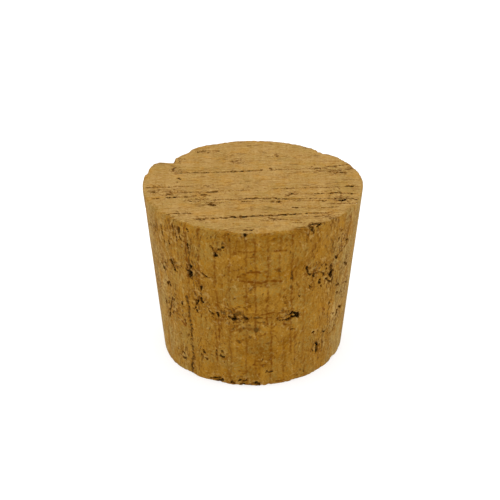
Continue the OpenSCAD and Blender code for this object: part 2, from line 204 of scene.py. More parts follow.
# Open pits and cracks of the flank: azimuth and height of each point, width, depth
FLANK_PITS = [
    ([(-33.2, 28.4), (-34.6, 27.6)], 0.35, 0.4), ([(-34.9, 27.7), (-35.1, 26.3)], 1.05, 1.1),
    ([(-35.2, 26.2), (-35.5, 25.3)], 0.5, 0.7), ([(-36.9, 27), (-35.6, 26.8)], 0.4, 0.5),
    ([(-48.6, 27.7), (-47.3, 26.5), (-46, 25.4)], 0.6, 0.6), ([(-47.2, 27.6), (-46, 27.3)], 0.28, 0.3),
    ([(-54.8, 25.9), (-53.8, 26.3)], 0.4, 0.4), ([(-57.9, 24.8), (-57, 24)], 0.55, 0.5),
    ([(-55, 21), (-53.2, 21.5)], 0.6, 0.6), ([(-53.4, 21.3), (-52.2, 20.8)], 0.35, 0.3),
    ([(-19.1, 32.7), (-18.9, 32.1)], 0.7, 0.6), ([(-19.6, 33), (-20.4, 34), (-21.8, 34.4)], 0.22, 0.25),
    ([(-17.7, 33.6), (-16.4, 33.9), (-15, 34.4)], 0.5, 0.35),
    ([(-28, 27.3), (-25.5, 26.9), (-23.2, 26.5)], 0.28, 0.45), ([(-28.2, 24), (-28.8, 23.1)], 0.45, 0.5),
    ([(-29, 21), (-28.7, 20)], 0.5, 0.6), ([(-30.4, 20.4), (-31.8, 19.3)], 0.35, 0.5),
    ([(-32.1, 20.2), (-32.4, 19)], 0.3, 0.4), ([(-33, 18.4), (-34.2, 17.7)], 0.26, 0.35),
    ([(-43.8, 17.6), (-43.3, 18)], 0.5, 0.5), ([(-32.6, 17.5), (-32.3, 17.2)], 0.45, 0.5),
    ([(-24.5, 18.3), (-22.5, 17.6)], 0.35, 0.45), ([(-20.3, 18.1), (-19.4, 17.5)], 0.45, 0.6),
    ([(-13.2, 17.8), (-11.8, 17.4)], 0.3, 0.4), ([(-11.6, 17.3), (-10.2, 17.1)], 0.5, 0.7),
    ([(-10.4, 18.3), (-9.2, 17.2)], 0.35, 0.5), ([(-9, 17.1), (-7.8, 17.3)], 0.22, 0.3),
    ([(-4.3, 17.8), (-3, 17.2)], 0.45, 0.6), ([(20.6, 17.6), (22.6, 18)], 0.45, 0.8),
    ([(23.6, 17.8), (25.4, 17.5), (26.4, 17)], 0.5, 0.9),
    ([(19, 16.6), (21.5, 16.9), (24, 17.1), (26.2, 16.6)], 0.42, 0.8),
    ([(13.8, 17.2), (14.6, 16.7), (17, 16.7), (19, 16.6)], 0.22, 0.35),
    ([(15.2, 17.4), (18, 17.4)], 0.15, 0.2), ([(29.2, 28.6), (29.9, 27.4)], 0.5, 0.55),
    ([(30.3, 26.9), (31.3, 26.4)], 0.35, 0.4), ([(33.8, 26.4), (34.4, 25.8)], 0.5, 0.6),
    ([(32, 26.7), (33.5, 26.5)], 0.22, 0.3), ([(35, 26.4), (36.4, 26.2)], 0.24, 0.35),
    ([(37.6, 26.4), (39.6, 25.9)], 0.22, 0.25), ([(38.8, 24.3), (39.4, 23.4)], 0.6, 0.75),
    ([(39.9, 22.9), (40.6, 22.4)], 0.35, 0.4), ([(40.5, 25.6), (41.6, 24.8)], 0.35, 0.4),
    ([(42, 27.6), (42.8, 27.3)], 0.3, 0.3), ([(42.7, 26.5), (43.3, 26.2)], 0.3, 0.3),
    ([(46.7, 26.6), (47, 25.6)], 0.5, 0.6), ([(46.9, 24.8), (47.7, 24)], 1.15, 1.1),
    ([(45.6, 26.4), (46.6, 27)], 0.35, 0.4), ([(43.2, 23.9), (44.6, 23.5)], 0.3, 0.4),
    ([(45.4, 23.1), (47.3, 22.6)], 0.35, 0.5), ([(47.5, 22.5), (48.9, 22.6), (49.3, 23.4)], 0.35, 0.5),
    ([(49.5, 28.4), (51, 27.6)], 0.35, 0.4), ([(51, 28.2), (54, 28.9), (58, 29.2)], 0.3, 0.18),
    ([(59.2, 29.6), (60, 30.4), (59.2, 31.2)], 0.34, 0.3),
    ([(50.6, 35), (53.5, 33.4), (57, 31.6), (59.8, 30.2)], 0.26, 0.18),
    ([(38.5, 28), (39.6, 27.6)], 0.28, 0.3), ([(41.6, 7.8), (42.2, 5.8)], 0.55, 0.9),
    ([(38.6, 6.6), (39.2, 6.1)], 0.3, 0.22), ([(37.4, 11), (38.3, 11.3)], 0.35, 0.4),
    ([(46, 10.2), (48, 9.9)], 0.35, 0.4), ([(48.4, 9.8), (52, 8.5), (56, 8.2)], 0.22, 0.15),
    ([(57, 8.6), (58.4, 11.3)], 0.3, 0.25), ([(58.5, 12.2), (58.9, 13.3)], 0.5, 0.4),
    ([(-51.5, 17.9), (-52.7, 17.1)], 0.34, 0.35), ([(-53.4, 16.6), (-54.8, 15)], 0.36, 0.4),
    ([(-55.4, 14.6), (-56.2, 13.9)], 0.4, 0.35), ([(-56.2, 13.4), (-57.4, 12)], 0.45, 0.5),
    ([(-52.8, 13.8), (-51.6, 14.6)], 0.45, 0.4), ([(-47.6, 4.9), (-46, 4.4), (-45.4, 3.4)], 0.28, 0.3),
    ([(-45.4, 3.4), (-46.8, 3), (-48.5, 3.3)], 0.35, 0.4), ([(-40.9, 2.4), (-40.1, 1.6)], 0.5, 0.5),
    ([(-30.2, 7.5), (-29.8, 7.1)], 0.4, 0.4), ([(-29.4, 5.7), (-28.2, 5.4)], 0.35, 0.4),
    ([(-32, 6.8), (-31.6, 5.9)], 0.22, 0.3), ([(-22, 8.6), (-22.3, 7.6), (-21, 7.1)], 0.25, 0.3),
    ([(-18.8, 8.6), (-17.6, 8.2)], 0.28, 0.3), ([(-19, 7.3), (-17.2, 7)], 0.38, 0.4),
    ([(-54.5, 34.9), (-54, 32.9)], 0.35, 0.35), ([(-53.8, 32.6), (-53, 31.2)], 0.25, 0.25),
    ([(-44.6, 36.9), (-44.2, 36)], 0.35, 0.35), ([(-40, 36.4), (-40.3, 35.2)], 0.4, 0.4),
    ([(-39.8, 34.6), (-39.5, 33.8)], 0.25, 0.25), ([(-34.8, 36.9), (-33.6, 36.4)], 0.28, 0.3),
    ([(-35.3, 33.4), (-35.1, 32.4)], 0.35, 0.35), ([(-27, 0.6), (-24, 0.9), (-20, 1.2)], 0.3, 0.4),
    ([(-22, 0.4), (-19, 0.8)], 0.5, 0.5), ([(-13, 0.6), (-11.5, 0.5)], 0.45, 0.5),
    ([(-8.6, 1.2), (-7, 1.5), (-5, 1), (-3.8, 1.4)], 0.3, 0.4), ([(-7.6, 0.4), (-5.4, 0.4)], 0.55, 0.6),
    ([(2.2, 0.7), (3.2, 0.4)], 0.9, 0.8), ([(27, 1.3), (29, 0.9)], 0.25, 0.3),
    ([(8.4, 3.6), (9.6, 3.5)], 0.3, 0.3), ([(-3.9, 38), (-3.6, 37.3)], 0.6, 0.6),
    ([(30.6, 37.9), (31, 37.1)], 0.5, 0.5), ([(33.5, 37.6), (36, 37.9)], 0.4, 0.4),
    ([(31, 36.8), (32, 36.5)], 0.25, 0.3), ([(-72.5, 32), (-68.5, 32.8)], 0.3, 0.18),
    ([(-65, 31), (-63, 31.6), (-61, 33.2)], 0.3, 0.18), ([(60, 25), (62.5, 24.4), (64.5, 23.7)], 0.35, 0.4),
    ([(54, 20.6), (57, 20.4)], 0.35, 0.4), ([(66, 19), (69, 18.6)], 0.45, 0.4),
    ([(60.6, 18.2), (62.4, 17.2)], 0.3, 0.25), ([(63, 16.6), (65.6, 14.8)], 0.24, 0.18),
    ([(62, 13.8), (65, 13.2)], 0.45, 0.5), ([(-56.6, 16.2), (-56, 15.8)], 0.3, 0.25),
    ([(-49.8, 17.8), (-50.6, 17.3)], 0.3, 0.25), ([(-46.8, 9.4), (-47.6, 9.9)], 0.25, 0.25),
    ([(-41.2, 9.8), (-40.4, 10.4)], 0.3, 0.3), ([(-38.2, 10.8), (-38.4, 10)], 0.4, 0.35),
    ([(-42.6, 13.6), (-41.6, 12.8)], 0.3, 0.25), ([(-60.2, 15.8), (-59.4, 15.2)], 0.4, 0.3),
    ([(-48.6, 32.4), (-48.2, 31.6)], 0.3, 0.25), ([(-42.8, 34.8), (-42.2, 34)], 0.3, 0.25),
    ([(55.4, 18.6), (56.6, 18.4)], 0.5, 0.3), ([(48.8, 17.2), (49.6, 16.6)], 0.35, 0.25),
    ([(50.6, 32.6), (51, 31.8)], 0.3, 0.25), ([(25.3, 22), (26, 21.8)], 0.35, 0.35),
    ([(32, 23.7), (32.7, 23.2)], 0.35, 0.4), ([(22, 13.8), (24, 13.7)], 0.22, 0.3),
]

# Brown lines of the flank, hardly open: azimuth and height of each point, width, darkness
FLANK_LINES = [
    ([(-36, 38), (-36.8, 34), (-36.3, 30), (-36.6, 24)], 0.3, 0.4),
    ([(-39.2, 20), (-38.3, 18), (-38.6, 15), (-37.4, 12.5)], 0.45, 0.5),
    ([(-37.4, 12.5), (-38.2, 10.5), (-38.8, 8), (-38.3, 5), (-39.6, 2.5), (-40.6, 0)], 0.55, 0.52),
    ([(-42.6, 36), (-42.2, 30), (-42.8, 24)], 0.3, 0.25),
    ([(-28.6, 38), (-28.2, 34), (-28.6, 31)], 0.25, 0.35),
    ([(-20.2, 36), (-19.6, 29), (-20.8, 25.5), (-19, 20), (-19.6, 10)], 0.22, 0.35),
    ([(-7, 33.7), (-3, 33.6), (2, 33.9)], 0.25, 0.4), ([(11, 33.8), (17, 33.6)], 0.3, 0.45),
    ([(-2, 32.4), (2, 32.5)], 0.22, 0.35),
    ([(-7.6, 27.7), (-4.6, 27.9), (-3.2, 28.6), (0, 29), (6.5, 28.9)], 0.35, 0.45),
    ([(20.4, 28.4), (20.6, 26.4)], 0.45, 0.5), ([(-2, 26.6), (3, 26.3), (8, 26.7), (15, 26.4)], 0.4, 0.45),
    ([(-9, 26.9), (-4, 26.6)], 0.22, 0.35), ([(0, 25.9), (5, 25.5), (12, 25.8)], 0.25, 0.3),
    ([(-5, 18.7), (3, 18.6)], 0.22, 0.4), ([(5, 18.6), (12, 18.7), (17, 18.5)], 0.25, 0.45),
    ([(3, 13.3), (5, 13.2), (7.5, 13.6)], 0.28, 0.45), ([(0.5, 5.6), (9, 5.5)], 0.25, 0.45),
    ([(-8, 3.8), (-1, 3.8)], 0.25, 0.4), ([(10, 3.5), (12.4, 3.6)], 0.3, 0.5),
    ([(9, 34), (8.6, 30), (9.2, 26)], 0.15, 0.25), ([(33, 32.4), (33.4, 33.6), (36, 34)], 0.28, 0.4),
    ([(56, 36), (58.5, 36.4), (61, 35.6), (61.5, 34.5)], 0.25, 0.4), ([(44, 16.6), (44.8, 16)], 0.6, 0.45),
    ([(18, 15.6), (19, 15.2)], 0.4, 0.35), ([(-13, 15.4), (-8, 15.6)], 0.25, 0.3),
    ([(-17, 7.9), (-10, 7.3)], 0.18, 0.35), ([(-46, 13.4), (-42.6, 12.4), (-42, 14)], 0.3, 0.4),
]

# Crumbly cork round the groups of pits: azimuth and height of the middle, reach
FLANK_CRUMBS = [
    (-52, 15.5, 5.5), (-42, 35, 4.5), (-55, 25.5, 4.5), (-47, 27, 3.5), (-30, 20.5, 4), (-33, 27.5, 3.5),
    (-17, 17.6, 4), (-9, 17.4, 3.5), (21, 17.2, 4), (36, 26.5, 4), (45, 25, 5), (56, 30.5, 4.5),
    (57, 12, 4.5), (62, 24.5, 4), (-47, 4.2, 3.5), (-20, 7.8, 3), (-22, 0.8, 3), (-6, 1, 3), (32, 37, 3),
    (-68, 20, 5), (66, 18, 5), (-66, 33, 4),
]
# The same on the large end: x and y of the middle, reach
END_CRUMBS = [
    (-16.5, -5, 4), (-11, -7.5, 4.5), (-20, -2.5, 3.5), (18, 6.5, 3.5), (14, 8, 3), (12.5, -19.3, 2.5),
    (4, -16, 3), (15.5, -15.5, 2.5), (8, -5, 2.5), (18.5, -7.6, 3), (-15, -14.2, 3), (-10, -16.5, 2.5),
    (-16.6, 7, 2.5), (-16.5, 12.5, 2), (5, 14.8, 2), (-10, 17.4, 2.5), (-3.5, 11.8, 2.5), (17, -4.5, 3),
]

# Paler (+) and darker (-) patches of the flank: azimuth and height of the middle, half width, half height,
# strength
FLANK_PATCHES = [
    (6, 27.7, 7, 1.8, -0.55), (4, 24.3, 5.5, 1.6, 0.75), (2, 21.4, 4.5, 1.3, -0.35),
    (-1, 18.9, 5.5, 0.6, 0.4), (22, 28.5, 3, 3.2, -0.35), (-17, 31, 3.5, 3.2, 0.3), (8, 9, 6.5, 3.5, -0.4),
    (2, 13.4, 1.8, 0.6, 0.5), (14, 14, 2.5, 4.5, 0.2), (-24, 33, 1.4, 2.6, 0.4), (-36, 33, 1.3, 6, -0.5),
    (-38.5, 14, 0.9, 9, -0.35), (54, 12.8, 2.6, 3.6, 0.45), (59.5, 10.5, 0.9, 3, -0.5),
    (53, 32, 2.2, 2.4, 0.4), (60.5, 33.5, 0.9, 2.5, -0.5), (14, 36.4, 5, 1.6, -0.4),
    (-10, 36.2, 7, 1.6, -0.3), (-58, 20, 4, 5, 0.25), (-8, 4.5, 5, 1.6, -0.3), (-20, 12, 3, 3.5, 0.2),
    (-3, 16.2, 6, 0.9, 0.25), (63, 26, 1.5, 2, -0.4), (-44, 25, 1.5, 5, 0.25),
]

# Upright brown lines of the front, where flat rays meet the skin: x, lowest and highest z, darkness
FRONT_RAYS = [
    (-10.8, 24, 38, 0.26), (-7.5, 4, 31, 0.26), (-4.6, 2, 37, 0.2), (-3.4, 6, 20, 0.16),
    (-1.3, 0.5, 37.5, 0.2), (0.5, 3, 37.5, 0.24), (1.6, 0.5, 16, 0.16), (3, 16, 38, 0.3), (3.9, 1, 16.5, 0.3),
    (5.5, 22, 37, 0.2), (6.4, 0.5, 12, 0.2), (7.9, 8, 37, 0.26), (8.9, 1, 12, 0.18), (10.6, 4, 30, 0.16),
]


class Mark:
    """One line on the skin: a chain of points, its width, how deep it is cut and how dark it is.

    A fine mark gets small faces. A stain is only a soft brown change of colour.
    """

    def __init__(self, points, width, depth, dark, fine=False, stain=False):
        self.points = np.array(points, float)
        self.width = width
        self.depth = depth
        self.dark = dark
        self.fine = fine or depth > OPEN_DEPTH
        self.stain = stain


# Marks deeper than this are open pits, with crumbs round them
OPEN_DEPTH = 0.2
# Marks of the large end darker than this are cut deep, and lines of the flank that aren't are only stains
OPEN_FROM = 0.5
# Depth of an end mark and of a thin ring line as shares of the width, and of a faint line when fully dark
END_DEPTH = 0.75
THIN_DEPTH = 0.4
LINE_DEPTH = 0.12
# How much of the width in the tables is cut, since the ragged lip adds to it
PIT_SHARE = 0.7
THIN_SHARE = 0.8
END_DARK = 0.9
# Darkness of a pit of the flank: with no depth, and what each millimetre of depth adds
PIT_DARK = 0.36
PIT_DARK_PER_MM = 0.6
# Stains count several times over, because the finish lets them through only in places
STAIN_DARK = 3.2
RAY_DARK = 3.9
# Upright lines of the front: width, number of points, how far they sway, and how long the waves are
RAY_WIDTH = 0.28
RAY_POINTS = 9
RAY_SWAY = 0.35
RAY_WAVE = 4.0


def front_ray(x, low, high):
    """Points of an upright line of the front, which sways a little."""
    points = []
    for z in np.linspace(low, high, RAY_POINTS):
        push = RAY_SWAY * noise.noise(Vector((x, z / RAY_WAVE, 0)))
        points.append(on_flank(math.degrees(math.asin((x + push) / flank_r(z))), z))
    return points


def large_end_marks():
    """The marks and the thin ring lines of the large end."""
    marks = []
    for x0, y0, x1, y1, width, dark in END_MARKS:
        depth = END_DEPTH * width * dark if dark > OPEN_FROM else LINE_DEPTH * dark
        ends = [on_large_end(x0, y0), on_large_end(x1, y1)]
        marks.append(Mark(ends, PIT_SHARE * width, depth, END_DARK * dark))
    for chain, width, dark in END_LINES:
        points = [on_large_end(x, y) for x, y in chain]
        depth = THIN_DEPTH * width * dark
        marks.append(Mark(points, THIN_SHARE * width, depth, END_DARK * dark, fine=True))
    return marks


def front_marks():
    """The pits, rays and lines of the front and the sides."""
    marks = []
    for chain, width, depth in FLANK_PITS:
        dark = min(1.0, PIT_DARK + PIT_DARK_PER_MM * depth)
        marks.append(Mark([on_flank(a, z) for a, z in chain], PIT_SHARE * width, depth, dark))
    for x, low, high, dark in FRONT_RAYS:
        marks.append(Mark(front_ray(x, low, high), RAY_WIDTH, 0, RAY_DARK * dark, fine=True, stain=True))
    for chain, width, dark in FLANK_LINES:
        faint = dark < OPEN_FROM
        seen = STAIN_DARK * dark if faint else dark
        points = [on_flank(a, z) for a, z in chain]
        marks.append(Mark(points, width, LINE_DEPTH * dark, seen, fine=True, stain=faint))
    return marks


# ------------------------------------------------------------------ the growth rings
# A ring surface is nearly upright and nearly along X: y = offset + RING_RISE * x - RING_TILT * z
RING_RISE = 0.066
RING_TILT = 0.09
RING_OFFSETS = [-17.9, -15.2, -12.0, -9.6, -7.2, -5.3, -3.2, -1.4, 3.1, 6.8, 9.6, 12.4, 14.9, 17.2, 19.8]
# How far a ring strays from its surface, and how long its waves are on the small end and on the flank
RING_STRAY = 0.25
END_WAVE = 4.0
FLANK_WAVE = 5.0
# Rings are drawn by this rule only past this azimuth, where no mark is listed
HAND_PLACED_TO = 78
# Where a ring only grazes the flank, past this share of the radius, it isn't drawn
GRAZING = 0.97
# Points at which a ring is looked for on the small end and on the flank, and the fewest that make a line
POINTS_ON_END = 41
POINTS_ON_FLANK = 39
FEWEST_POINTS = 5
# Turns of the loop that closes in on where a ring and the flank meet
CLOSING_TURNS = 6
# How near the edges rings are drawn
END_MARGIN = 0.3
FLANK_MARGIN = 0.6
# How dark rings are, and what share of it they have on the flank
RING_DARK = (0.3, 0.85)
FLANK_SHARE = 0.8
# Dashes of a ring: length of a dash, length of a gap, width
END_DASHES = (2.4, 2.0, 0.22)
FLANK_DASHES = (3.0, 2.6, 0.24)


def ring_y(offset, x, z):
    """Where a ring that passes this offset on the large end's middle lies, at x and z."""
    return offset + RING_RISE * x - RING_TILT * (z - HEIGHT)


def ring_on_small_end(offset):
    """Points of the line in which a ring surface meets the small end."""
    row = []
    for x in np.linspace(-SMALL_R, SMALL_R, POINTS_ON_END):
        y = ring_y(offset, x, 0) + RING_STRAY * noise.noise(Vector((x / END_WAVE, offset, 0)))
        if math.hypot(x, y) < SMALL_R - END_MARGIN:
            row.append((x, y, 0.0))
    return row


def ring_on_flank(offset, side):
    """Points of the line in which a ring surface meets the far part of the flank, left (-1) or right (1)."""
    row = []
    for z in np.linspace(FLANK_MARGIN, HEIGHT - FLANK_MARGIN, POINTS_ON_FLANK):
        radius = flank_r(z)
        x = side * radius
        for _ in range(CLOSING_TURNS):
            y = ring_y(offset, x, z)
            x = side * math.sqrt(max(radius * radius - y * y, 0))
        azimuth = math.degrees(math.atan2(x, -y))
        wave = RING_STRAY * noise.noise(Vector((z / FLANK_WAVE, offset, side))) / radius
        if abs(azimuth) > HAND_PLACED_TO and abs(y) < GRAZING * radius:
            row.append(on_flank(azimuth + math.degrees(wave), z))
    return row


def broken_line(rng, chain, dash, gap, width, dark):
    """Splits a chain of points into short dashes with gaps between them. A very short chain gives none."""
    marks = []
    if len(chain) < FEWEST_POINTS:
        return marks
    chain = np.array(chain, float)
    steps = np.linalg.norm(np.diff(chain, axis=0), axis=1)
    along = np.concatenate([[0], np.cumsum(steps)])
    at = rng.uniform(0, gap)
    while at < along[-1]:
        end = min(at + dash * rng.uniform(0.3, 1.6) ** 2, along[-1])
        inner = along[(along > at) & (along < end)]
        spots = np.concatenate([[at], inner, [end]])
        points = np.stack([np.interp(spots, along, chain[:, k]) for k in range(3)], axis=1)
        strength = dark * rng.uniform(0.35, 1.2)
        depth = THIN_DEPTH * width * strength
        marks.append(Mark(points, width * rng.uniform(0.6, 1.4), depth, min(1, strength)))
        at = end + gap * rng.uniform(0.3, 1.7) ** 2
    return marks


def ring_marks_round_back(rng):
    """The same growth rings where they come out on the small end and on the far side of the flank."""
    marks = []
    for offset in RING_OFFSETS:
        dark = rng.uniform(*RING_DARK)
        marks += broken_line(rng, ring_on_small_end(offset), *END_DASHES, dark)
        for side in (-1, 1):
            marks += broken_line(rng, ring_on_flank(offset, side), *FLANK_DASHES, dark * FLANK_SHARE)
    return marks


# ------------------------------------------------------------------ pits where nothing is listed
SEED = 23
FLANK_CLUSTERS = 40
SMALL_END_CLUSTERS = 18
# The azimuths that have clusters, and the least and most of what varies in each
FAR_SIDE = (85, 275)
CLUSTER_MARGIN = 2
CLUSTER_SPREAD = (0.6, 2.4)
CLUSTER_SQUASH = 0.6
PITS_IN_CLUSTER = (1, 6)
PIT_LENGTH = (0.2, 1.6)
PIT_WIDTH = (0.16, 0.45)
PIT_DEPTH_TO_WIDTH = (0.7, 1.4)
PIT_CROOK = 0.12
PIT_MARGIN = 0.2
FAR_PIT_DARK = 0.4
FAR_PIT_DARK_PER_MM = 0.7


def scattered_pits(rng, clusters, face):
    """Clusters of pits and short cracks, as the bark's pores leave them where they meet the surface."""
    marks = []
    for _ in range(clusters):
        if face == "flank":
            azimuth = rng.uniform(*FAR_SIDE)
            z = rng.uniform(CLUSTER_MARGIN, HEIGHT - CLUSTER_MARGIN)
        else:
            turn = rng.uniform(0, TAU)
            radius = SMALL_R * math.sqrt(rng.uniform(0, 0.85))
            u, v = radius * math.cos(turn), radius * math.sin(turn)
        spread = rng.uniform(*CLUSTER_SPREAD)
        for _ in range(rng.integers(*PITS_IN_CLUSTER)):
            along, across = rng.normal(0, spread, 2)
            length = rng.uniform(*PIT_LENGTH)
            turn = rng.uniform(0, math.pi)
            width = rng.uniform(*PIT_WIDTH)
            points = []
            for way in (-0.5, 0, 0.5):
                du = along + way * length * math.cos(turn) + rng.normal(0, PIT_CROOK)
                dv = CLUSTER_SQUASH * across + way * length * math.sin(turn) + rng.normal(0, PIT_CROOK)
                if face == "flank":
                    height = min(max(z + dv, PIT_MARGIN), HEIGHT - PIT_MARGIN)
                    points.append(on_flank(azimuth + math.degrees(du / flank_r(height)), height))
                else:
                    points.append((u + du, v + dv, 0.0))
            depth = width * rng.uniform(*PIT_DEPTH_TO_WIDTH)
            marks.append(Mark(points, width, depth, min(1, FAR_PIT_DARK + FAR_PIT_DARK_PER_MM * depth)))
    return marks


# ------------------------------------------------------------------ the blank and its skin
# Cells along each side of an end's grid, and rows of faces up the flank
CELLS = 84
ROWS = 86
# Marks get finer faces: how near a mark, and the longest edge left there. The second step is for open marks
FINE_STEPS = [(0.32, 0.26), (0.14, 0.14)]
RIM_BAND = 0.3
# Shifts that give each axis noise of its own
AXIS_SEEDS = (0.0, 40.0, 80.0)
TINY = 1e-9
# Points this near an end's plane belong to the end
ON_END = 1e-4


def disc_grid(cells, radius, z):
    """Points of a square grid drawn out to a round disc, row by row, its rim evenly divided."""
    turn = np.linspace(-math.pi / 4, math.pi / 4, cells + 1)
    side = math.sqrt(2) * np.sin(turn)
    u, v = np.meshgrid(side, side, indexing="ij")
    x = radius * u * np.sqrt(1 - v * v / 2)
    y = radius * v * np.sqrt(1 - u * u / 2)
    return np.stack([x, y, np.full_like(x, z)], axis=-1)


def rim_of(cells):
    """Grid places round the disc's rim, in order, turning from +X towards +Y."""
    right = [(cells, j) for j in range(cells)]
    back = [(cells - i, cells) for i in range(cells)]
    left = [(0, cells - j) for j in range(cells)]
    front = [(i, 0) for i in range(cells)]
    return right + back + left + front


def blank_mesh():
    """The turned blank as a closed mesh of even quads, in millimetres."""
    side = CELLS + 1
    small = disc_grid(CELLS, SMALL_R, 0.0).reshape(-1, 3)
    large = disc_grid(CELLS, LARGE_R, HEIGHT).reshape(-1, 3)
    rim = [i * side + j for i, j in rim_of(CELLS)]
    points = [small, large]
    rows = [rim]
    start = 2 * side * side
    for row in range(1, ROWS):
        z = HEIGHT * row / ROWS
        ring = small[rim] * (flank_r(z) / SMALL_R)
        ring[:, 2] = z
        points.append(ring)
        rows.append([start + k for k in range(len(rim))])
        start += len(rim)
    rows.append([side * side + k for k in rim])
    faces = []
    for i in range(CELLS):
        for j in range(CELLS):
            a, b, c, d = i * side + j, (i + 1) * side + j, (i + 1) * side + j + 1, i * side + j + 1
            faces.append((d, c, b, a))
            faces.append(tuple(side * side + k for k in (a, b, c, d)))
    for low, high in zip(rows, rows[1:]):
        for k in range(len(rim)):
            n = (k + 1) % len(rim)
            faces.append((low[k], low[n], high[n], high[k]))
    mesh = bpy.data.meshes.new("stopper_body")
    mesh.from_pydata(np.concatenate(points), [], faces)
    return mesh


def lumps(points, size, seed=0.0):
    """Smooth noise between about -1 and 1 at each point, with lumps this many millimetres across."""
    return np.array([noise.noise(Vector((x / size + seed, y / size, z / size))) for x, y, z in points])


def wander(points, size, reach, seed=0.0):
    """The points, each moved a little by smooth noise, along each axis by noise of its own."""
    return points + reach * np.stack([lumps(points, size, seed + own) for own in AXIS_SEEDS], axis=1)


def azimuth_and_radius(points):
    """The azimuth in degrees and the distance from the axis of each point."""
    return np.degrees(np.arctan2(points[:, 0], -points[:, 1])), np.hypot(points[:, 0], points[:, 1])


def read_round(table, azimuth):
    """The value of a table of azimuths at each azimuth, all the way round."""
    known = sorted((a % 360, value) for a, value in table)
    return np.interp(azimuth % 360, [a for a, _ in known], [value for _, value in known], period=360)


def stretched(points, radius, new_radius):
    """The points, moved straight out from the axis or in towards it."""
    scale = new_radius / np.maximum(radius, TINY)
    return points * np.stack([scale, scale, np.ones(len(points))], axis=1)


def near_marks(marks, points, reach):
    """For each mark, the points within reach of it and how far each lies from the mark's edge."""
    for mark in marks:
        low = mark.points.min(0) - mark.width - reach
        high = mark.points.max(0) + mark.width + reach
        near = np.flatnonzero(((points > low) & (points < high)).all(1))
        if not len(near):
            continue
        place = points[near]
        away = np.full(len(near), np.inf)
        for a, b in zip(mark.points, mark.points[1:]):
            run = b - a
            share = ((place - a) @ run / max(run @ run, TINY)).clip(0, 1)
            away = np.minimum(away, np.linalg.norm(place - a - share[:, None] * run, axis=1))
        yield mark, near, away - mark.width / 2


def refine(mesh, marks):
    """Splits the faces along marks and both edges, so that they hold the shape of what is cut there."""
    fine_marks = [mark for mark in marks if mark.fine]
    open_marks = [mark for mark in marks if mark.depth > OPEN_DEPTH]
    bm = bmesh.new()
    bm.from_mesh(mesh)
    for step, (band, longest) in enumerate(FINE_STEPS):
        points = np.array([v.co for v in bm.verts])
        gap = np.full(len(points), np.inf)
        for mark, near, away in near_marks(open_marks if step else fine_marks, points, band):
            gap[near] = np.minimum(gap[near], away)
        wanted = gap < band
        if step == 0:
            radius = np.hypot(points[:, 0], points[:, 1])
            to_end = np.minimum(points[:, 2], HEIGHT - points[:, 2])
            wanted |= np.hypot(flank_r(points[:, 2]) - radius, to_end) < RIM_BAND
        bm.verts.index_update()
        edges = [e for e in bm.edges
                 if (wanted[e.verts[0].index] or wanted[e.verts[1].index]) and e.calc_length() > longest]
        bmesh.ops.subdivide_edges(bm, edges=edges, cuts=1, use_grid_fill=True)
    bmesh.ops.triangulate(bm, faces=[f for f in bm.faces if len(f.verts) > 4])
    bm.to_mesh(mesh)
    bm.free()


# ------------------------------------------------------------------ broken and worn edges
# How far both edges are worn in, how steeply the worn part leans, and how far in the ends feel it
WEAR = 0.2
WEAR_LEAN = 1.1
WEAR_REACH = 8.0
# Waves of the worn edge: how many degrees long, how strong, and a seed for each
WEAR_WAVES = [(6.0, 0.8, 0), (2.2, 0.9, 5)]
# A loss deeper than this is a broken lump with a rough wall, and it is fully one when deeper by the span
LUMP_FROM = 0.45
LUMP_SPAN = 0.5
LUMP_ROUGH = 0.26
ROUGH_BELOW = 0.2


def edge_loss(azimuth, losses, seed):
    """How far in from an edge the break starts at each azimuth: the lost lumps, and a worn edge all round."""
    worn = np.array([
        sum(strong * noise.noise(Vector((a / wave, seed, own))) for wave, strong, own in WEAR_WAVES)
        for a in azimuth
    ])
    return read_round(losses, azimuth) + WEAR * (0.2 + 1.8 * worn).clip(0, 3)


def break_edges(points):
    """Breaks both edges of the blank: a lump, a nick and a flake are gone, and the rest is worn."""
    azimuth, radius = azimuth_and_radius(points)
    large_end = points[:, 2] > HEIGHT - ON_END
    small_end = points[:, 2] < ON_END
    flank = ~large_end & ~small_end
    new_radius = radius.copy()
    broken = np.zeros(len(points))
    for losses, lean, seed, full, end, depth in (
        (RIM_LOSSES, RIM_LEAN, 1.0, LARGE_R, large_end, HEIGHT - points[:, 2]),
        (FOOT_LOSSES, FOOT_LEAN, 2.0, SMALL_R, small_end, points[:, 2]),
    ):
        close = (depth < WEAR_REACH) & (radius > full - WEAR_REACH)
        loss = np.zeros(len(points))
        loss[close] = edge_loss(azimuth[close], losses, seed)
        lump = ((loss - LUMP_FROM) / LUMP_SPAN).clip(0, 1)
        slope = lean * lump + WEAR_LEAN * (1 - lump)
        wall = full - loss + slope * depth
        rough = LUMP_ROUGH * lump * (depth > ROUGH_BELOW)
        wall[close] += rough[close] * (lumps(points[close], 1.3) + 0.6 * lumps(points[close], 0.5))
        cut = flank & close & (wall < new_radius)
        new_radius[cut] = wall[cut]
        broken[cut] = np.maximum(broken[cut], lump[cut])
        outer = end & (radius > full - WEAR_REACH)
        share = (radius[outer] - (full - WEAR_REACH)) / WEAR_REACH
        new_radius[outer] = radius[outer] - share ** 2 * loss[outer]
    return stretched(points, radius, new_radius), broken


def out_of_round(points):
    """The blank's points, moved off the true circle as a hand-cut stopper's are."""
    azimuth, radius = azimuth_and_radius(points)
    up = points[:, 2] / HEIGHT
    large = read_round(LARGE_END_ROUND, azimuth)
    small = read_round(SMALL_END_ROUND, azimuth)
    out = (large * up ** 2 + small * (1 - up) ** 3) * (radius / flank_r(points[:, 2])) ** 4
    return stretched(points, radius, radius + out)


# ------------------------------------------------------------------ what is cut into the skin
# The way in turns from one face to the next over this much of the edge
EDGE_TURN = 0.5
